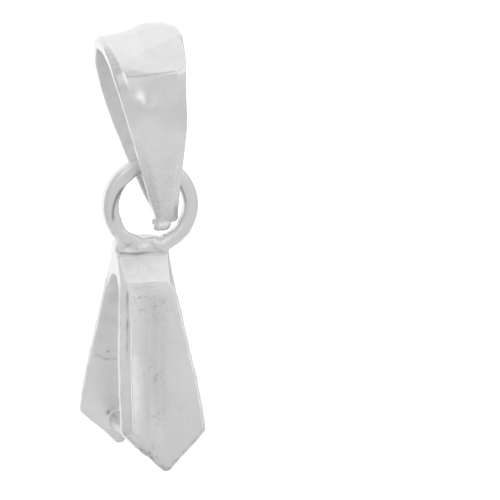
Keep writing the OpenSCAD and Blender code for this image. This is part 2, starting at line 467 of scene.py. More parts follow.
# %% [markdown]
# ## The jump ring
# A jump ring is wire, wound round a rod and cut. This wire is flattened, so a torus won't do. A
# small plane is scaled to the wire's section, its corners are rounded by a bevel, and spin
# sweeps it once round the ring's middle. The sweep starts and ends in the same place, so the
# doubles are merged and the section's own face, now inside the metal, is taken out.

# %% Spin the ring
ring_section = RING_AT + Vector((RING_R, 0, 0))
clear_choice()
bpy.ops.mesh.primitive_plane_add(size=1, location=ring_section)
ring = bpy.context.active_object
ring.name = "jump_ring"
settle()
take(ring, "EDIT")
choose_all()
bpy.ops.transform.resize(value=(WIRE_T, WIRE_W, 1), center_override=ring_section)
bpy.ops.mesh.bevel(offset=WIRE_ROUND, segments=5, affect="VERTICES")
choose_all()
bpy.ops.mesh.spin(steps=120, angle=2 * math.pi, center=RING_AT, axis=(0, 1, 0))
choose_all()
bpy.ops.mesh.remove_doubles(threshold=0.001)
choose(ring, "FACE", lambda f: len(f.verts) > 4)
bpy.ops.mesh.delete(type="FACE")
point_outwards()
bpy.ops.object.mode_set(mode="OBJECT")
print("ring corners:", len(ring.data.vertices))

# %% [markdown]
# ## The prongs
# Each prong is a round peg that starts inside its leaf and points at the other one, a little
# downwards. They stop just short of each other, because the stone's hole comes between them. A
# cylinder is turned along that line, its free end is scaled down, and the rim there is softened
# by a bevel.

# %% Pegs for the prongs
PEG_SIDES, PEG_SOFT = 40, 0.08


def peg(side):
    """The prong of one leaf."""
    reach = PRONG_REACH * CLIP_SPREAD / 2
    start = Vector((DRIFT[side], side * reach, CROWN_Z - PRONG_DROP * CLIP_H))
    end = start + Vector(((DRIFT[-1] + DRIFT[1]) / 2 - DRIFT[side], -side * reach, -PRONG_DIP))
    end = start + (end - start) * (1 - PRONG_GAP / 2 / reach)
    line = end - start
    clear_choice()
    bpy.ops.mesh.primitive_cylinder_add(
        vertices=PEG_SIDES, radius=PRONG_ROOT_D / 2, depth=line.length,
        location=(start + end) / 2, rotation=line.to_track_quat("Z", "Y").to_euler())
    made = bpy.context.active_object
    settle()
    take(made, "EDIT")
    choose(made, "FACE", lambda f: len(f.verts) == PEG_SIDES
           and (f.calc_center_median() - end).length < 0.05)
    bpy.ops.transform.resize(value=(PRONG_END_D / PRONG_ROOT_D,) * 3, center_override=end)
    bpy.ops.mesh.bevel(offset=PEG_SOFT, segments=2, affect="EDGES")
    bpy.ops.object.mode_set(mode="OBJECT")
    return made


pegs = [peg(side) for side in (-1, 1)]
print("prongs:", len(pegs), "with", PRONG_GAP, "mm between their ends")

# %% [markdown]
# ## Solder on the crown
# The ring was soldered on the crown with plenty of metal, which filled the corner in front of it
# with a flat-faced block and ran into lumps at both ends. The block is a cube with bevelled
# edges, and the lumps are the same squashed balls as at the tip. Ring, prongs and solder all
# join the yoke here.

# %% Block and lumps on the crown
def slab(centre, size, soft):
    """A block of solder with bevelled edges, between its corners centre - size and + size."""
    clear_choice()
    bpy.ops.mesh.primitive_cube_add(size=2, location=centre)
    block = bpy.context.active_object
    block.scale = size
    settle()
    take(block, "EDIT")
    choose_all()
    bpy.ops.mesh.bevel(offset=soft, segments=3, affect="EDGES")
    bpy.ops.object.mode_set(mode="OBJECT")
    return block


CROWN_SOLDER = [((-0.62, RING_FRONT + 0.1, CROWN_Z - 0.02), (0.42, 0.18, 0.24)),
                ((-0.95, RING_FRONT + 0.12, CROWN_Z - 0.3), (0.34, 0.18, 0.26)),
                ((0.1, RING_FRONT + 0.1, CROWN_Z - 0.28), (0.5, 0.16, 0.22)),
                ((0.72, RING_FRONT + 0.12, CROWN_Z - 0.1), (0.42, 0.2, 0.36)),
                ((0.15, 0.15, CROWN_Z + 0.04), (0.95, 0.4, 0.22)),
                ((1.05, -0.55, CROWN_Z + 0.05), (0.22, 0.35, 0.3)),
                ((-1.0, -0.5, CROWN_Z + 0.0), (0.3, 0.4, 0.2))]
crown_slab = slab((-0.05, RING_FRONT + 0.38, CROWN_Z - 0.22), (1.27, 0.36, 0.4), 0.12)
join(clip, [ring, *pegs, crown_slab] + [lump(place, size) for place, size in CROWN_SOLDER])
print("clip corners:", len(clip.data.vertices))

# %% [markdown]
# ## Melting it together
# On the real finding the joints are soldered, so each piece is one solid. A plain union would
# keep the joints sharp. The voxel remesh instead wraps one even skin of small squares round all
# that overlaps, as flowing metal does, and two rounds of smoothing take the sharpness off the
# edges, as tumbling in a barrel does. A small voxel keeps the bevels crisp and gives the relief
# below enough corners to work on.

# %% Remesh and soften
VOXEL = {"loop": 0.05, "clip": 0.056}
for piece, voxel in ((loop, VOXEL["loop"]), (clip, VOXEL["clip"])):
    finish_with(piece, "REMESH", mode="VOXEL", voxel_size=voxel, use_smooth_shade=True)
    finish_with(piece, "SMOOTH", factor=0.5, iterations=2)
    print(piece.name, len(piece.data.polygons), "faces")

# %% [markdown]
# ## The arch under the crown
# Between the leaves the metal turns in one round arch, so that it doesn't crack when the clip is
# squeezed. The few rows of the crown give a bend with sharp turns there. The corners of the mesh
# on its inner side go in a vertex group, which fades out down the leaves, and the Smooth
# modifier works on that group alone, two hundred times, until the arch is round.

# %% Round the arch
ARCH_FROM, ARCH_TO, ARCH_FADE = 0.5, 3.4, 0.8
FACES_IN, FACES_SIDE = 0.3, 0.85

clip.vertex_groups.clear()
arch = clip.vertex_groups.new(name="arch")
arch_corners = 0
for corner in clip.data.vertices:
    drop, across, normal = CROWN_Z - corner.co.z, abs(corner.co.y), corner.normal
    inwards = normal.z < -FACES_IN or normal.y * corner.co.y < -FACES_IN * across
    if inwards and ARCH_FROM < drop < ARCH_TO and abs(normal.x) < FACES_SIDE:
        arch.add((corner.index,), min(1, (ARCH_TO - drop) / ARCH_FADE), "REPLACE")
        arch_corners += 1
finish_with(clip, "SMOOTH", factor=0.5, iterations=200, vertex_group="arch")
clip.vertex_groups.clear()
print("corners in the arch:", arch_corners)

# %% [markdown]
# ## Relief: how a hand tool marks metal
# A file, a hammer and the mould leave shallow marks. They could be painted in sculpt mode, but a
# script can work out a height for every corner instead, from where it is and which way it faces.
# The heights, in millimetres, become the weights of a vertex group, as weight painting would
# store them, and the Displace modifier moves the surface by that much. A group holds no negative
# weights, so raising and sinking take turns.

# %% Read a mesh and push it
def corners(piece):
    """Places and normals of all corners, as two arrays."""
    count = len(piece.data.vertices)
    places, normals = np.zeros(count * 3), np.zeros(count * 3)
    piece.data.vertices.foreach_get("co", places)
    piece.data.vertex_normals.foreach_get("vector", normals)
    return places.reshape(-1, 3), normals.reshape(-1, 3)


def relief(piece, heights, direction="NORMAL"):
    """Raises, then sinks, each corner along its normal or an axis by its height."""
    for way in (1, -1):
        part = np.clip(way * heights, 0, None)
        most = part.max()
        if most < 1e-5:
            continue
        group = piece.vertex_groups.new(name="relief")
        for index in np.nonzero(part)[0].tolist():
            group.add((index,), part[index] / most, "REPLACE")
        finish_with(piece, "DISPLACE", strength=way * most, mid_level=0, direction=direction,
                    vertex_group="relief")
        piece.vertex_groups.remove(piece.vertex_groups["relief"])
        print(piece.name, "raised" if way > 0 else "sunk", "by up to", round(most, 3), "mm")


print("corners: loop", len(loop.data.vertices), "clip", len(clip.data.vertices))

# %% [markdown]
# Three soft shapes are enough to draw any mark: a bell for a dent or a lump, a ramp for an edge
# that fades, and a stroke, which is a bell drawn along a line. `wander` is the irregular part:
# noise with a size in millimetres and a number that picks its place, so that each run gives the
# same marks.

# %% Soft shapes and noise
def bell(distance, width):
    """1 in the middle, falling to 0 softly over the width."""
    return np.exp(-((distance / width) ** 2))


def ramp(values, start, end):
    """0 before the start, 1 after the end, a soft step between."""
    t = np.clip((values - start) / (end - start), 0, 1)
    return t * t * (3 - 2 * t)


def stroke(seen, x1, z1, x2, z2, width):
    """How near each corner is to a straight stroke, seen from the front."""
    a, b = np.array((x1, z1)), np.array((x2, z2))
    along = np.clip((seen - a) @ (b - a) / max((b - a) @ (b - a), 1e-9), 0, 1)
    return bell(np.linalg.norm(seen - a - along[:, None] * (b - a), axis=1), width)


def spots(seen, where):
    """Round dents seen from the front, each with its x, z and width."""
    return sum(bell(np.hypot(seen[:, 0] - x, seen[:, 1] - z), width) for x, z, width in where)


def wander(places, sizes, seed):
    """Soft noise between -1 and 1, with its own size in mm along X, Y and Z."""
    scaled = places / np.array(sizes) + seed
    return np.array([noise.noise(Vector(p)) for p in scaled.tolist()])


def even(size):
    """The same size along X, Y and Z."""
    return (size, size, size)


print("a ramp halfway:", ramp(0.5, 0, 1), "a bell at its width:", round(bell(1, 1), 2))

# %% [markdown]
# ## What the finish and the painted shade need to know
# Marks differ in more than height. Oxide stays dark in a groove, the skin of the casting is
# rougher than a polished face, and a file leaves fine ripples. These three are kept for every
# corner as the red, green and blue of a colour attribute, which the material reads later. The red
# also carries painted shade, where some places are drawn darker as if shade lay on them.

# %% Keep the finish and painted shade with the mesh
FRONT, LEFT = np.array((0, -1, 0)), np.array((-1, 0, 0))


def keep_finish_and_painted_shade(piece, dark, raw, ripples):
    """Stores oxide with painted shade, raw skin and file ripples of each corner as a colour
    attribute.
    """
    colours = np.ones((len(dark), 4), np.float32)
    for channel, values in enumerate((dark, raw, ripples)):
        colours[:, channel] = np.clip(values, 0, 1)
    layer = piece.data.color_attributes.new("finish_and_painted_shade", "FLOAT_COLOR", "POINT")
    layer.data.foreach_set("color", colours.ravel())
    print(piece.name, "mean oxide", round(float(colours[:, 0].mean()), 3),
          "raw", round(float(colours[:, 1].mean()), 3))


def facing(direction, start, end):
    """1 for the corners of the piece in hand that face the direction, 0 for those that don't."""
    return ramp(normals @ direction, start, end)


print("front is", FRONT.tolist(), "and left is", LEFT.tolist())

# %% [markdown]
# ## The uneven top of the loop
# The strip was hammered over a rod, and its top edge came out uneven. From the front it is low on
# the left, swells right of the middle and falls away at the right corner. Only the top half
# millimetre moves, and only up or down, so that the flat below it stays a plane.

# %% Make the top uneven
CRUST = 0.5
places, normals = corners(loop)
x, y, z = places.T
crust = ramp(z, LOOP_H - CRUST, LOOP_H - 0.05)
low_left = -0.1 * ramp(-x, -0.5, 0.2)
swell = 0.12 * bell(x - 0.62, 0.6)
low_right = -0.16 * ramp(x, 1.4, 1.9)
relief(loop, crust * (low_left + swell + low_right), "Z")

# %% [markdown]
# ## The skin of the loop
# Polished metal still isn't a perfect plane. Long, faint waves bend every reflection and tell
# the eye that a hand held the file. The flat has less of them, because a file cuts straight, and
# the inner face, which no tool reached after bending, has more.

# %% Waves in the metal
places, normals = corners(loop)
x, y, z = places.T
seen = places[:, (0, 2)]
front = facing(FRONT, 0.2, 0.5) * ramp(-y, 0.2, 0.5)
inside_face = ramp(-(normals[:, 1] * np.sign(y)), 0.2, 0.6)
filed_plane = np.array(flat_normal)
on_flat = bell((places - np.array(crease)) @ filed_plane, 0.06) * facing(filed_plane, 0.9, 0.98)

height = 0.012 * wander(places, even(0.9), 3) + 0.003 * wander(places, even(0.35), 7)
height *= 1 - 0.7 * on_flat
height += 0.03 * inside_face * wander(places, (0.7, 0.7, 0.5), 5)
print("corners on the flat:", int((on_flat > 0.5).sum()))

# %% [markdown]
# ## Groove and boss
# The edge of the file cut a fine groove where the flat ends, deeper at the left, and oxide
# stayed in it. Below it the strip has a soft boss on the left, where it was planished over the
# rod. It is only two tenths of a millimetre high, but it is what catches the light.

# %% Cut the groove and raise the boss
GROOVE = [(-1.08, 8.13, -0.2, 8.03, 0.035), (-0.2, 8.03, 1.2, 7.93, 0.02)]
BOSS_X, BOSS_Z, BOSS_H = -0.5, 6.5, 0.2
under = sum(stroke(seen, *one) for one in GROOVE) * front
boss = bell(np.hypot(x - BOSS_X, z - BOSS_Z), 0.7) * front * ramp(x, -1.5, -0.6)
height += -0.014 * under + BOSS_H * boss
dark = 0.3 * under
print("corners in the groove:", int((under > 0.5).sum()), "on the boss:", int((boss > 0.5).sum()))

# %% [markdown]
# ## Pits, a burr and the tip
# Gas in the casting left small pits in the strip. The file turned up a burr at the right end of
# the flat. Low on the front the skin is rough with fine pits, since a wheel can't polish close
# to the ring, and the solder at the tip is lumpy.

# %% Pit the loop
LOOP_PITS = [(0.15, 8.76), (0.36, 8.33), (0.77, 7.39), (-0.06, 6.42), (1.11, 9.31),
             (-0.42, 7.1), (-0.36, 7.28), (0.2, 5.3), (0.62, 4.4)]
BURR = np.array((1.95, -1.2, 9.1))
pits = sum(stroke(seen, px, pz, px + 0.05, pz + 0.01, 0.016) for px, pz in LOOP_PITS) * front
speckle = ramp(wander(places, (0.12, 0.12, 0.2), 17), 0.1, 0.45)
pitted = front * ramp(-z, -5, -2.5) * speckle
height += 0.07 * bell(np.linalg.norm(places - BURR, axis=1), 0.2)
height -= 0.006 * pits + 0.004 * pitted
dark += 0.18 * pits + 0.1 * pitted

tip = ramp(-z, -0.4, -0.1)
height += tip * (0.02 * wander(places, even(0.3), 11) + 0.025 * wander(places, even(0.16), 13))
relief(loop, height)
print("pits:", len(LOOP_PITS), "and corners at the tip:", int((tip > 0.5).sum()))

# %% [markdown]
# ## The loop's finish and painted shade
# Inside, the top left is painted darker as shade, and faint stains of oxide lie over the inner
# face. The bevel that faces left beside the flat is painted a little darker as shade as well. The
# inner face keeps its raw skin. Across the lower front the file chattered and left ripples.

# %% Keep the loop's finish and painted shade
# painted shade inside the top left of the loop
dark += 0.25 * inside_face * ramp(z, 8.3, 9.3) * ramp(-x, 0.2, 1.6)
dark += 0.04 * inside_face * ramp(wander(places, (0.8, 0.8, 0.5), 15), 0.0, 0.4)
# painted shade on the bevel that faces left beside the flat
dark += 0.16 * facing(LEFT, 0.15, 0.35) * front * ramp(z, 7.0, 7.8) * ramp(-x, 0.6, 1.0)
raw = np.maximum(inside_face * 0.8, tip * 0.1)
chatter = front * bell(x - 0.15, 0.5) * ramp(z, 0.3, 0.9) * ramp(-z, -4.2, -2.2)
keep_finish_and_painted_shade(loop, dark, raw, chatter)

# %% [markdown]
# ## Reading the leaf
# The marks on the clip lie at certain distances from the crown, from the leaf's face and from
# its left edge, so those are worked out first. The table of rows gives them: `along_leaf` reads
# any of its columns at the height of each corner.

# %% Measure the leaf
REACH, WIDTH, DRIFT_SHARE = 1, 4, 5
LEAF_FROM, LEAF_FULL = 1.7, 2.3
places, normals = corners(clip)
x, y, z = places.T
below = CROWN_Z - z


def along_leaf(column):
    """One column of the leaf's rows, at the height of each corner."""
    return np.interp(below, [row[0] * CLIP_H for row in half_yoke],
                     [row[column] for row in half_yoke])


on_leaf = ramp(below, LEAF_FROM, LEAF_FULL)
depth = np.clip(along_leaf(REACH) * CLIP_SPREAD / 2 - np.abs(y), 0, 1)
side_x = np.where(y < 0, x, -x)
from_ridge = side_x - np.interp(below, (LEAF_FROM, 4.94, 8.7), (-1.03, -1.35, -1.54))
into_leaf = np.clip(from_ridge, 0, None)
print("lowest corner:", round(float(below.max()), 2), "mm under the crown")

# %% [markdown]
# ## Ridge and gutter
# Each leaf has a ridge near its left edge. From the ridge the face first sinks into a shallow
# gutter, steepest low down, then rises a little and falls away to the right. A plane would give
# one even grey. The gutter is what gives the leaf its bright band beside a dark one. The push is
# from front to back, and it fades through the thickness, so that the inner face stays flat.

# %% Sink the gutters
GUTTER_W, RISE_W = 1, 0.65
through = (1 - depth / LEAF_T) * (depth < LEAF_T) * on_leaf * ramp(np.abs(y), 1, 1.6)
steep = np.interp(below, (2.0, 4.5, 6.3), (0.06, 0.13, 0.27))
in_gutter = np.minimum(into_leaf, GUTTER_W)
gutter = steep * (in_gutter - in_gutter ** 2 / 2)
rise = 0.06 * np.clip(into_leaf - GUTTER_W, 0, RISE_W)
fall = 0.01 * np.clip(into_leaf - GUTTER_W - RISE_W, 0, None)
fall += 0.04 * np.clip(into_leaf - 2.6, 0, None)
relief(clip, -np.sign(y) * through * (gutter - rise + fall), "Y")

# %% [markdown]
# ## The skin of the clip
# Most of the clip was only tumbled and not filed, so its skin has longer waves than the loop's.
# The places are read again, because the gutters moved them. Two tones go with the ridge: a thin
# dark line along it, where oxide stayed, and a faint painted shade over the face beyond the
# gutter, a dark reflection drawn into the colour.

# %% Waves, tones and painted shade of the clip
places, normals = corners(clip)
x, y, z = places.T
seen = np.column_stack((x, z - CROWN_Z))
faces_front = facing(FRONT, 0.3, 0.6)
outer_front = faces_front * ramp(-y, 1.2, 1.6)
inner_back = faces_front * ramp(y, 0.6, 0.9)

height = 0.01 * wander(places, even(1.1), 21) + 0.003 * wander(places, even(0.35), 23)
corner_line = bell(from_ridge, 0.05) * outer_front
corner_line *= ramp(below, 1.9, 2.4) * ramp(-below, -6.0, -4.0)
corner_line *= np.clip(0.85 + 0.8 * wander(places, (0.25, 0.25, 0.35), 73), 0.3, 1.3)
# painted shade: a dark reflection drawn as a band beyond the gutter
painted_shade_band = bell(into_leaf - 1.35, 0.5) * ramp(below, 1.9, 2.8) * ramp(-below, -9.0, -7.0)
dark = 0.42 * corner_line + 0.17 * painted_shade_band + 0.03 * ramp(below, 6, 8.5)
dark *= outer_front * on_leaf
print("corners on the front leaf:", int((outer_front > 0.5).sum()))

# %% [markdown]
# ## Tool marks on the leaf
# Short strokes of the file lie under the shoulder, nearly level, and a few more further down.
# Noise thins them out along their length, as a file skips. Each stroke is two ends and a width,
# by its place under the crown.

# %% File strokes
LEAF_STROKES = [(-0.95, -1.84, 0.8, -1.86, 0.02), (-0.9, -2.2, -0.3, -2.14, 0.014),
                (-0.1, -2.12, 0.7, -1.98, 0.014), (-0.85, -3.3, -0.35, -3.24, 0.014),
                (-0.75, -2.09, 0.1, -2.02, 0.016), (-0.72, -2.36, 0.75, -2.24, 0.016),
                (-0.7, -2.54, -0.1, -2.46, 0.02), (-0.2, -6.19, 0.3, -5.94, 0.016)]
strokes = sum(stroke(seen, *one) for one in LEAF_STROKES) * outer_front
strokes *= np.clip(0.6 + wander(places, even(0.3), 25), 0, 1)
height -= 0.016 * strokes
dark += 0.22 * strokes
print("strokes:", len(LEAF_STROKES))

# %% [markdown]
# ## Pits and porous patches
# Where the metal cooled last it drew in gas. Single pits are scattered over the leaf and the
# facet above it, and in five patches the face is porous. There two noises of unlike grain are
# added and only their peaks are kept, which gives ragged specks in clusters.

# %% Pits of the casting
LEAF_PITS = [(0.7, -6.13), (0.78, -7.58), (0.45, -2.68), (0.5, -2.84), (0.7, -3.94),
             (-0.9, -3.54), (0.03, -7.93), (-0.34, -8.1), (0.35, -3.24), (1.1, -4.64),
             (1.35, -8.24)]
FACET_PITS = [(-0.72, -0.98), (-0.6, -1.14), (0.1, -1.08), (0.58, -0.96), (0.22, -1.5),
              (-0.85, -1.46)]
POROUS = [(-0.6, -2.84, 0.5), (0.45, -2.94, 0.45), (-0.2, -6.09, 0.5), (-0.3, -8.04, 0.4),
          (-0.7, -9.6, 0.5)]
pits = sum(stroke(seen, px, pz, px + 0.04, pz, 0.018) for px, pz in LEAF_PITS + FACET_PITS)
pits *= faces_front * ramp(-y, 0.7, 1)
specks = wander(places, (0.1, 0.1, 0.17), 27) + 0.7 * wander(places, (0.31, 0.31, 0.23), 29)
porous = spots(seen, POROUS) * outer_front * ramp(specks, 0.15, 0.5)
height -= 0.008 * pits + 0.005 * porous
dark += 0.3 * pits + 0.26 * porous
print("pits:", len(LEAF_PITS + FACET_PITS), "porous patches:", len(POROUS))

# %% [markdown]
# ## Inside the back leaf
# Past the front leaf we look on the inner face of the back one. The two halves of the mould
# left a low step across it, and there is one small pit above that and a deep one by the prong.

# %% Mould step and inner pits
MOULD_STEP = [(-1.75, -5.96, -1.2, -6.24, 0.06), (-1.2, -6.24, 1.6, -6.14, 0.06)]
INNER_PITS = [(-1.19, -5.81, -1.12, -5.84, 0.04), (-0.94, -9.09, -0.9, -9.04, 0.09)]
step = sum(stroke(seen, *one) for one in MOULD_STEP)
inner_pits = sum(stroke(seen, *one) for one in INNER_PITS)
height -= inner_back * (0.015 * step + 0.03 * inner_pits)
stain = ramp(wander(places, (0.9, 0.9, 0.7), 77), 0.0, 0.4)
dark += inner_back * (0.2 * step + 0.5 * inner_pits + 0.06 * stain)
print("corners on the step:", int((inner_back * step > 0.5).sum()))

# %% [markdown]
# ## Solder round the crown
# Solder freezes in folds. The lumps made earlier get a lumpy skin, calmer at the right, and a few
# pits at the left where it didn't quite fill. Under them a shallow seam runs right across, where
# the solder stopped short of the facet, and a shadow is painted into it: thick and dark at the
# left, and nearly closed at the right.

# %% Folds, seam and painted shadow of the solder
CROWN_PITS = [(-0.78, -0.16, 0.07), (-0.66, -0.06, 0.04), (-0.92, -0.02, 0.04),
              (-0.4, -0.3, 0.04)]
SEAM_SHADOW_X, SEAM_SHADOW_Z = (-1.25, -0.7, -0.3, 0.3, 1.2), (-0.42, -0.55, -0.58, -0.5, -0.52)
crown = ramp(-below, -0.56, -0.4) * ramp(below, -0.6, -0.3) * ramp(-y, 0.3, 0.6)
calm = 1 - 0.7 * ramp(x, 0.7, 1.2)
height += crown * (0.22 * wander(places, (0.6, 0.6, 0.45), 31) * calm
                   + 0.02 * wander(places, even(0.2), 37))
crown_pits = spots(seen, CROWN_PITS) * faces_front * ramp(-y, 0.3, 0.6)
height -= 0.05 * crown_pits

# a shallow seam with a painted shadow along it, thicker at the left
seam_and_shadow_w = 0.035 * (1 + 0.8 * bell(x + 0.35, 0.4))
seam_and_shadow = bell(seen[:, 1] - np.interp(x, SEAM_SHADOW_X, SEAM_SHADOW_Z), seam_and_shadow_w) * ramp(-y, 0.5, 0.8)
seam_and_shadow *= facing(FRONT, 0, 0.4) * ramp(x, -1.35, -1.15) * (1 - 0.75 * ramp(x, 0.1, 0.8))
height -= 0.03 * seam_and_shadow
# painted shadow in the seam, and dark pits
dark += 0.5 * seam_and_shadow + 0.5 * crown_pits
dark += 0.08 * crown * ramp(wander(places, (0.25, 0.25, 0.2), 41), 0.3, 0.6)
print("corners in the crown's solder:", int((crown > 0.5).sum()))

# %% [markdown]
# ## The filed limb of the ring
# The left limb of the ring was filed thinner after soldering. Its face slopes away outwards from
# a crease, which runs along the limb as a dark line. Angles go round the ring from its right
# side, and CREASE_R gives how far from the middle the crease lies at each.

# %% File the ring
CREASE_ANGLE = (105, 128, 143, 152, 173, 190, 205)
CREASE_R = (2.3, 1.95, 1.69, 1.73, 1.84, 1.97, 2.05)
from_ring = places[:, (0, 2)] - np.array((RING_AT.x, RING_AT.z))
radius = np.linalg.norm(from_ring, axis=1)
angle = np.degrees(np.arctan2(from_ring[:, 1], from_ring[:, 0])) % 360
limb = ramp(angle, 105, 130) * ramp(-angle, -225, -200)
limb *= bell(y - RING_AT.y, 0.9) * ramp(-radius, -2.6, -2.5)
ring_front = facing(FRONT, 0.4, 0.7) * limb
past_crease = radius - np.interp(angle, CREASE_ANGLE, CREASE_R)
outwards = np.sum(normals[:, (0, 2)] * from_ring, axis=1) / np.maximum(radius, 0.1)
wire_crease = bell(past_crease, 0.06) * ring_front
wire_crease *= ramp(angle, 138, 148) * ramp(-angle, -202, -194)
height -= 0.1 * ring_front * np.maximum(past_crease, 0) + 0.06 * wire_crease
height += 0.09 * limb * ramp(-outwards, 0.3, 0.8)
dark += 0.95 * wire_crease
print("corners on the filed limb:", int((ring_front > 0.5).sum()))

# %% [markdown]
# ## Edges of the leaves
# Three kinds of edge are left. The sprue, through which the metal ran in, was snapped off under
# the front leaf and left a ragged edge, and the faces that look down under it are painted darker
# as shade. The side walls keep the skin of the casting, with a line under the bevel. And the two
# lower edges of each leaf have a thin worn rim.

# %% The ragged edge of the sprue, and painted shade under it
ragged = ramp(below, 9.2, 9.7) * ramp(-y, 3.6, 3.9) * ramp(-normals[:, 2], -0.1, 0.3)
ragged *= ramp(-x, -0.6, -0.2)
height += 0.05 * ragged * (0.6 + wander(places, even(0.22), 51))
# painted shade on the faces that look down under the front leaf's point
dark += 0.18 * ramp(below, 8.8, 9.2) * ramp(-normals[:, 2], 0.3, 0.7) * ramp(-y, 3.6, 3.9)
print("corners on the ragged edge:", int((ragged > 0.5).sum()))

# %% The side walls
wall = ramp(np.abs(normals[:, 0]), 0.75, 0.95) * on_leaf * ramp(np.abs(y), 0.9, 1.3)
wall_line = wall * bell(depth - LEAF_BEVEL_D - 0.1 * wander(places, even(0.3), 61), 0.06)
height += wall * 0.022 * wander(places, (0.5, 0.4, 0.4), 63) - 0.03 * wall_line
dark += 0.4 * wall_line
print("corners on the walls:", int((wall > 0.5).sum()))

# %% The worn rim
half_width = (CROWN_W + along_leaf(WIDTH) * (LEAF_W - CROWN_W)) / 2
leaf_middle = along_leaf(DRIFT_SHARE) * np.where(y < 0, DRIFT[-1], DRIFT[1])
from_edge = half_width - np.abs(x - leaf_middle) - 0.12 * (side_x > 0)
rim = bell(from_edge, 0.16) * ramp(below, 8.6, 8.9) * outer_front
rim *= np.clip(0.6 + 1.2 * wander(places, even(0.2), 71), 0, 1)
height -= 0.03 * rim
dark += 0.25 * rim
print("corners on the rim:", int((rim > 0.5).sum()))

# %% [markdown]
# ## The prongs, and the clip's finish and painted shade
# The prongs were filed round from above. Those strokes run along each prong, so their noise is
# long from front to back and thin across. With them all the heights are together, the clip gets
# its relief, and its finish is kept with its painted shade: raw skin on the walls and the sprue's
# edge, file ripples in the strokes.

# %% File the prongs and finish the clip
prong = ramp(below, 9.1, 9.3) * ramp(-below, -10.2, -9.9) * ramp(-np.abs(y), -3.6, -3.3)
prong_file = prong * ramp(normals[:, 2], -0.1, 0.3)
scratches = wander(places, (0.12, 1.6, 0.12), 67)
height -= 0.03 * prong_file * np.clip(scratches, 0, 1)
dark += 0.25 * prong_file * ramp(scratches, 0, 0.4)
relief(clip, height)
raw = np.maximum.reduce([inner_back * 0.1, 0.25 * crown, ragged, 0.6 * wall])
keep_finish_and_painted_shade(clip, dark, raw, strokes)

# %% [markdown]
# ## Into place
# Each piece was modelled upright in its own frame, since that is where its sizes are simple. Now
# it is moved and turned to hang as it does in the CAD and shrunk to metres. Each step is applied
# before the next, so the object ends at the origin, unturned and unscaled.

# %% Place the pieces
def place(piece, shift, turn, to):
    """Shifts a piece, turns it about the origin, moves it on, and shrinks it to metres."""
    take(piece)
    for spot, angles in ((shift, (0, 0, 0)), ((0, 0, 0), turn), (to, (0, 0, 0))):
        piece.location, piece.rotation_euler = spot, angles
        settle()
    piece.scale = (MM, MM, MM)
    settle()
    print(piece.name, "is", [round(side / MM, 2) for side in piece.dimensions], "mm")


place(loop, (0, 0, LOOP_TOP_WALL - LOOP_H), (LEAN, -ROLL, 0), (0, 0, 0))
place(clip, (-RING_SHIFT - LOOP_SLIDE, RING_FORWARD, 0), (-HANG_TILT, 0, 0), HINGE_AT)

# %% [markdown]
# ## Nodes in code
# A material is a small network of nodes. One function adds any node with its settings and links,
# so a network reads from top to bottom like a recipe. Colours are written as the sRGB values a
# colour picker shows. Blender calculates with linear light, so one function turns them.

# %% Colours and nodes
def linear(hex_colour):
    """An sRGB hex colour as linear values."""
    parts = [int(hex_colour[i:i + 2], 16) / 255 for i in (1, 3, 5)]
    return [p / 12.92 if p <= 0.04045 else ((p + 0.055) / 1.055) ** 2.4 for p in parts] + [1]


def add(tree, kind, links=None, **settings):
    """Adds a shader node, sets its values and links its inputs."""
    node = tree.nodes.new(kind)
    for key, value in settings.items():
        setattr(node, key, value)
    for socket, source in (links or {}).items():
        if hasattr(source, "links"):
            tree.links.new(source, node.inputs[socket])
        else:
            node.inputs[socket].default_value = source
    return node


print("middle grey #808080 is", round(linear("#808080")[0], 3), "in linear light")

# %% [markdown]
# ## Silver
# Sterling silver throws back about nine tenths of the light, evenly over all colours. So it has
# next to no colour of its own: what we see in it is the white room, and it looks grey where it
# reflects the darker parts. Being a metal it is fully metallic and keeps the default IOR.
#
# Both pieces are the same cast metal. The loop was filed and polished, so its reflections are a
# bit crisper, and the clip was tumbled in a barrel, which leaves a softer satin. Neither is
# a mirror: a roughness near 0.3 blurs the room to soft patches. A cloud of slow noise shifts
# tone and roughness a little from place to place, since no hand polishes evenly.

# %% Values of the silver
BRIGHT, CLOUDED = linear("#F6F6F6"), linear("#E9E9E9")
# silver oxide and polishing dirt, left where no wheel reaches, look dark grey; the same grey is
# also painted as shade in places
OXIDE_AND_PAINTED_SHADE = linear("#585858")
RAW_ROUGHER = 0.35
# the scratches of a satin finish are about 0.02 mm apart, drawn six times coarser to show
GRAIN, GRAIN_DEEP = 0.12, 0.004
# the teeth of a fine needle file, about 90 to the centimetre
CHATTER, CHATTER_DEEP = 0.11, 0.012
# a wave texture of scale 1 repeats after this length
WAVE_TURN = math.pi / 10
print("grain", GRAIN, "mm, file ripples", CHATTER, "mm apart")
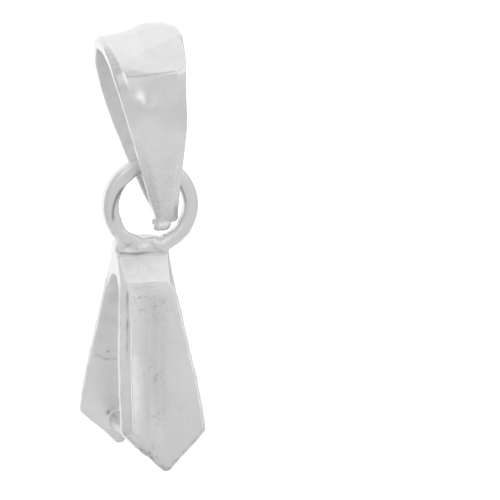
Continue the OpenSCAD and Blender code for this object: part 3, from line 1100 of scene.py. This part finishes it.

# %% [markdown]
# The network has three parts. The tone goes from bright to clouded by the noise, and from there
# to the dark grey of oxide and painted shade by the red of the stored finish. The roughness
# follows the same noise, and the green adds to it where the skin is raw. Two bumps follow each
# other: a fine grain all over, and the ripples of the file, only where the blue says so. All
# patterns read Object coordinates, which are real metres here because the object is unscaled.

# %% Make the silver
def silver(name, polish, cloud_size):
    """Sterling silver, with polish its roughness and cloud_size the slow noise in mm."""
    material = bpy.data.materials.new(name)
    material.use_nodes = True
    tree = material.node_tree
    shader = tree.nodes["Principled BSDF"]
    shader.inputs["Metallic"].default_value = 1
    spot = add(tree, "ShaderNodeTexCoord").outputs["Object"]
    finish_and_painted_shade = add(tree, "ShaderNodeAttribute", attribute_name="finish_and_painted_shade")
    finish_and_painted_shade = add(tree, "ShaderNodeSeparateColor", {"Color": finish_and_painted_shade.outputs["Color"]}).outputs

    cloud = add(tree, "ShaderNodeTexNoise", {
        "Vector": spot, "Scale": 1 / (cloud_size * MM), "Detail": 4,
        "Roughness": 0.6}).outputs["Fac"]
    tone = add(tree, "ShaderNodeMix", {0: cloud, 6: BRIGHT, 7: CLOUDED},
               data_type="RGBA").outputs[2]
    # the red mixes in the dark grey of oxide and of painted shade
    tone = add(tree, "ShaderNodeMix", {0: finish_and_painted_shade["Red"], 6: tone, 7: OXIDE_AND_PAINTED_SHADE},
               data_type="RGBA").outputs[2]

    rough = add(tree, "ShaderNodeMapRange", {
        "Value": cloud, "From Min": 0.3, "From Max": 0.7,
        "To Min": polish - 0.06, "To Max": polish + 0.08}).outputs["Result"]
    rough = add(tree, "ShaderNodeMath", {0: finish_and_painted_shade["Green"], 1: RAW_ROUGHER, 2: rough},
                operation="MULTIPLY_ADD").outputs[0]

    grain = add(tree, "ShaderNodeTexNoise", {
        "Vector": spot, "Scale": 1 / (GRAIN * MM), "Detail": 3}).outputs["Fac"]
    bump = add(tree, "ShaderNodeBump", {
        "Strength": 0.3, "Distance": GRAIN_DEEP * MM, "Height": grain}).outputs["Normal"]
    lines = add(tree, "ShaderNodeTexWave", {
        "Vector": spot, "Scale": WAVE_TURN / (CHATTER * MM), "Distortion": 2.5, "Detail": 2,
        "Detail Scale": 1.5}, wave_type="BANDS", bands_direction="Z").outputs["Fac"]
    lines = add(tree, "ShaderNodeMath", {0: lines, 1: finish_and_painted_shade["Blue"]},
                operation="MULTIPLY").outputs[0]
    bump = add(tree, "ShaderNodeBump", {
        "Strength": 0.5, "Distance": CHATTER_DEEP * MM, "Height": lines,
        "Normal": bump}).outputs["Normal"]

    for socket, source in (("Base Color", tone), ("Roughness", rough), ("Normal", bump)):
        tree.links.new(source, shader.inputs[socket])
    print(name, "has", len(tree.nodes), "nodes")
    return material


# %% Give each piece its silver
for piece, name, polish, cloud_size in (
        (loop, "sterling silver, filed and polished", 0.26, 0.9),
        (clip, "sterling silver, cast and tumbled", 0.3, 0.7)):
    piece.data.materials.clear()
    piece.data.materials.append(silver(name, polish, cloud_size))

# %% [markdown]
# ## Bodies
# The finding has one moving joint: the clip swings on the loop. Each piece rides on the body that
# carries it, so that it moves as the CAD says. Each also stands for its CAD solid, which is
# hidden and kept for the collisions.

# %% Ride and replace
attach(loop, "loop")
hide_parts("bail_loop")
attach(clip, "clip")
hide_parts("pinch_clip")
print(loop.name, "rides on loop,", clip.name, "rides on clip")

# %% [markdown]
# ## Camera
# Small goods are photographed from far off with a long lens, so that nearer parts don't look too
# large. The camera stands 13 degrees to the left and 11.3 degrees up. It is aimed from the
# finding itself: the aim is the hinge, moved in the picture's own right and up directions, which
# puts the finding left of the middle. FIELD is the width of the view where the finding hangs.

# %% Set up the camera
AZIMUTH, ELEVATION = math.radians(-13), math.radians(11.3)
FIELD = 24.27 * MM
LENS, SENSOR = 500, 36
AIM_RIGHT, AIM_DOWN = 4.631, 4.195
back = Vector((math.sin(AZIMUTH) * math.cos(ELEVATION),
               -math.cos(AZIMUTH) * math.cos(ELEVATION), math.sin(ELEVATION)))
right = Vector((math.cos(AZIMUTH), math.sin(AZIMUTH), 0))
up = back.cross(right)
target = HINGE_AT * MM + (AIM_RIGHT * right - AIM_DOWN * up) * MM
camera_data = bpy.data.cameras.new("studio_camera")
camera = bpy.data.objects.new("studio_camera", camera_data)
bpy.context.scene.collection.objects.link(camera)
camera_data.lens, camera_data.sensor_width = LENS, SENSOR
camera_data.clip_start, camera_data.clip_end = 0.01, 10
camera.location = target + back * FIELD * LENS / SENSOR
camera.rotation_euler = back.to_track_quat("Z", "Y").to_euler()
bpy.context.scene.camera = camera
print("camera", round((camera.location - target).length, 3), "m from the finding")

# %% [markdown]
# ## Floor
# A matt white board lies under the finding. It glows a little, as a board lit from below does,
# which keeps it free of shadows. Glossy rays pass it by, because the silver should mirror the
# tent below it and not the near edge of a board.

# %% Lay the floor
FLOOR_Z, FLOOR_GLOW = -22, 0.6
scene = bpy.context.scene
scene.view_settings.view_transform = "Standard"
clear_choice()
bpy.ops.mesh.primitive_plane_add(size=2, location=(0, 0, FLOOR_Z * MM))
floor = bpy.context.active_object
floor.name = "pale_floor"
settle()
floor_material = bpy.data.materials.new("matt white board")
floor_material.use_nodes = True
board = floor_material.node_tree.nodes["Principled BSDF"]
board.inputs["Base Color"].default_value = linear("#F4F4F4")
board.inputs["Roughness"].default_value = 0.9
board.inputs["Emission Color"].default_value = (1, 1, 1, 1)
board.inputs["Emission Strength"].default_value = FLOOR_GLOW
floor.data.materials.append(floor_material)
floor.visible_glossy = False
print("floor at", FLOOR_Z, "mm")

# %% [markdown]
# ## A white tent
# Silver is photographed in a tent of white cloth, because it mirrors everything round it. The
# world stands for that tent here. Its brightness depends on the direction alone: brightest
# overhead, greyer at the sides, a bright sheet behind the finding, and a few soft windows where
# lamps stand close to the cloth. Every patch of light on the metal comes from one of these, so
# the way to move a patch is to move its window.

# %% Directions of the tent
world = bpy.data.worlds.new("white_tent")
scene.world = world
world.use_nodes = True
tree = world.node_tree
way = add(tree, "ShaderNodeTexCoord").outputs["Generated"]
parts = add(tree, "ShaderNodeSeparateXYZ", {"Vector": way}).outputs


def fade(source, start, end, low, high):
    """A soft step of brightness from one direction value to another."""
    return add(tree, "ShaderNodeMapRange", {
        "Value": source, "From Min": start, "From Max": end, "To Min": low, "To Max": high},
        interpolation_type="SMOOTHSTEP").outputs["Result"]


def total(a, b, operation="ADD"):
    """The sum, or another result, of two brightnesses."""
    return add(tree, "ShaderNodeMath", {0: a, 1: b}, operation=operation).outputs[0]


print("world:", world.name)

# %% Cloth of the tent
SIDE_CLOTH, TOP_CLOTH, LOW_CLOTH, BACK_SHEET = 0.575, 0.96, 0.09, 0.39
cloth = total(fade(parts["Z"], 0.73, 0.86, SIDE_CLOTH, TOP_CLOTH),
              fade(parts["Z"], 0.15, 0.35, LOW_CLOTH, 0))
cloth = total(cloth, total(fade(parts["Z"], -0.7, -0.45, LOW_CLOTH, 0),
                           fade(parts["Z"], -0.95, -0.85, -LOW_CLOTH, 0)))
sheet = total(fade(parts["Y"], 0.2, 0.75, 0, BACK_SHEET),
              fade(parts["Z"], 0.7, 0.92, 1, 0), "MULTIPLY")
print("cloth: sides", SIDE_CLOTH, "top", TOP_CLOTH, "back", SIDE_CLOTH + BACK_SHEET)

# %% [markdown]
# Each window is a soft round patch, bright in its inner radius and gone at its outer one. The
# first lights the facets that face right, the second is the glare on the boss of the loop, the
# third lifts the left side, and the last one opens up the front. The fourth is the opposite of a
# window: it takes light away low on the left.

# %% Windows of the tent
# azimuth, elevation, outer and inner radius in degrees, brightness
WINDOWS = [(50, 35, 25, 8, 0.5), (-14, 31, 17, 9, 0.68), (-80, 35, 30, 10, 0.17),
           (-65, -5, 35, 10, -0.06), (22, 12, 26, 8, 0.06)]


def window(azimuth, elevation, outer, inner, brightness):
    """A soft round patch of light in the tent."""
    a, e = math.radians(azimuth), math.radians(elevation)
    towards = Vector((math.sin(a) * math.cos(e), -math.cos(a) * math.cos(e), math.sin(e)))
    near = add(tree, "ShaderNodeVectorMath", {0: way, 1: tuple(towards)},
               operation="DOT_PRODUCT").outputs["Value"]
    return fade(near, math.cos(math.radians(outer)), math.cos(math.radians(inner)),
                0, brightness)


tent = total(cloth, sheet)
for one in WINDOWS:
    tent = total(tent, window(*one))
tree.links.new(tent, tree.nodes["Background"].inputs["Strength"])
tree.nodes["Background"].inputs["Color"].default_value = (1, 1, 1, 1)
print("windows:", len(WINDOWS))
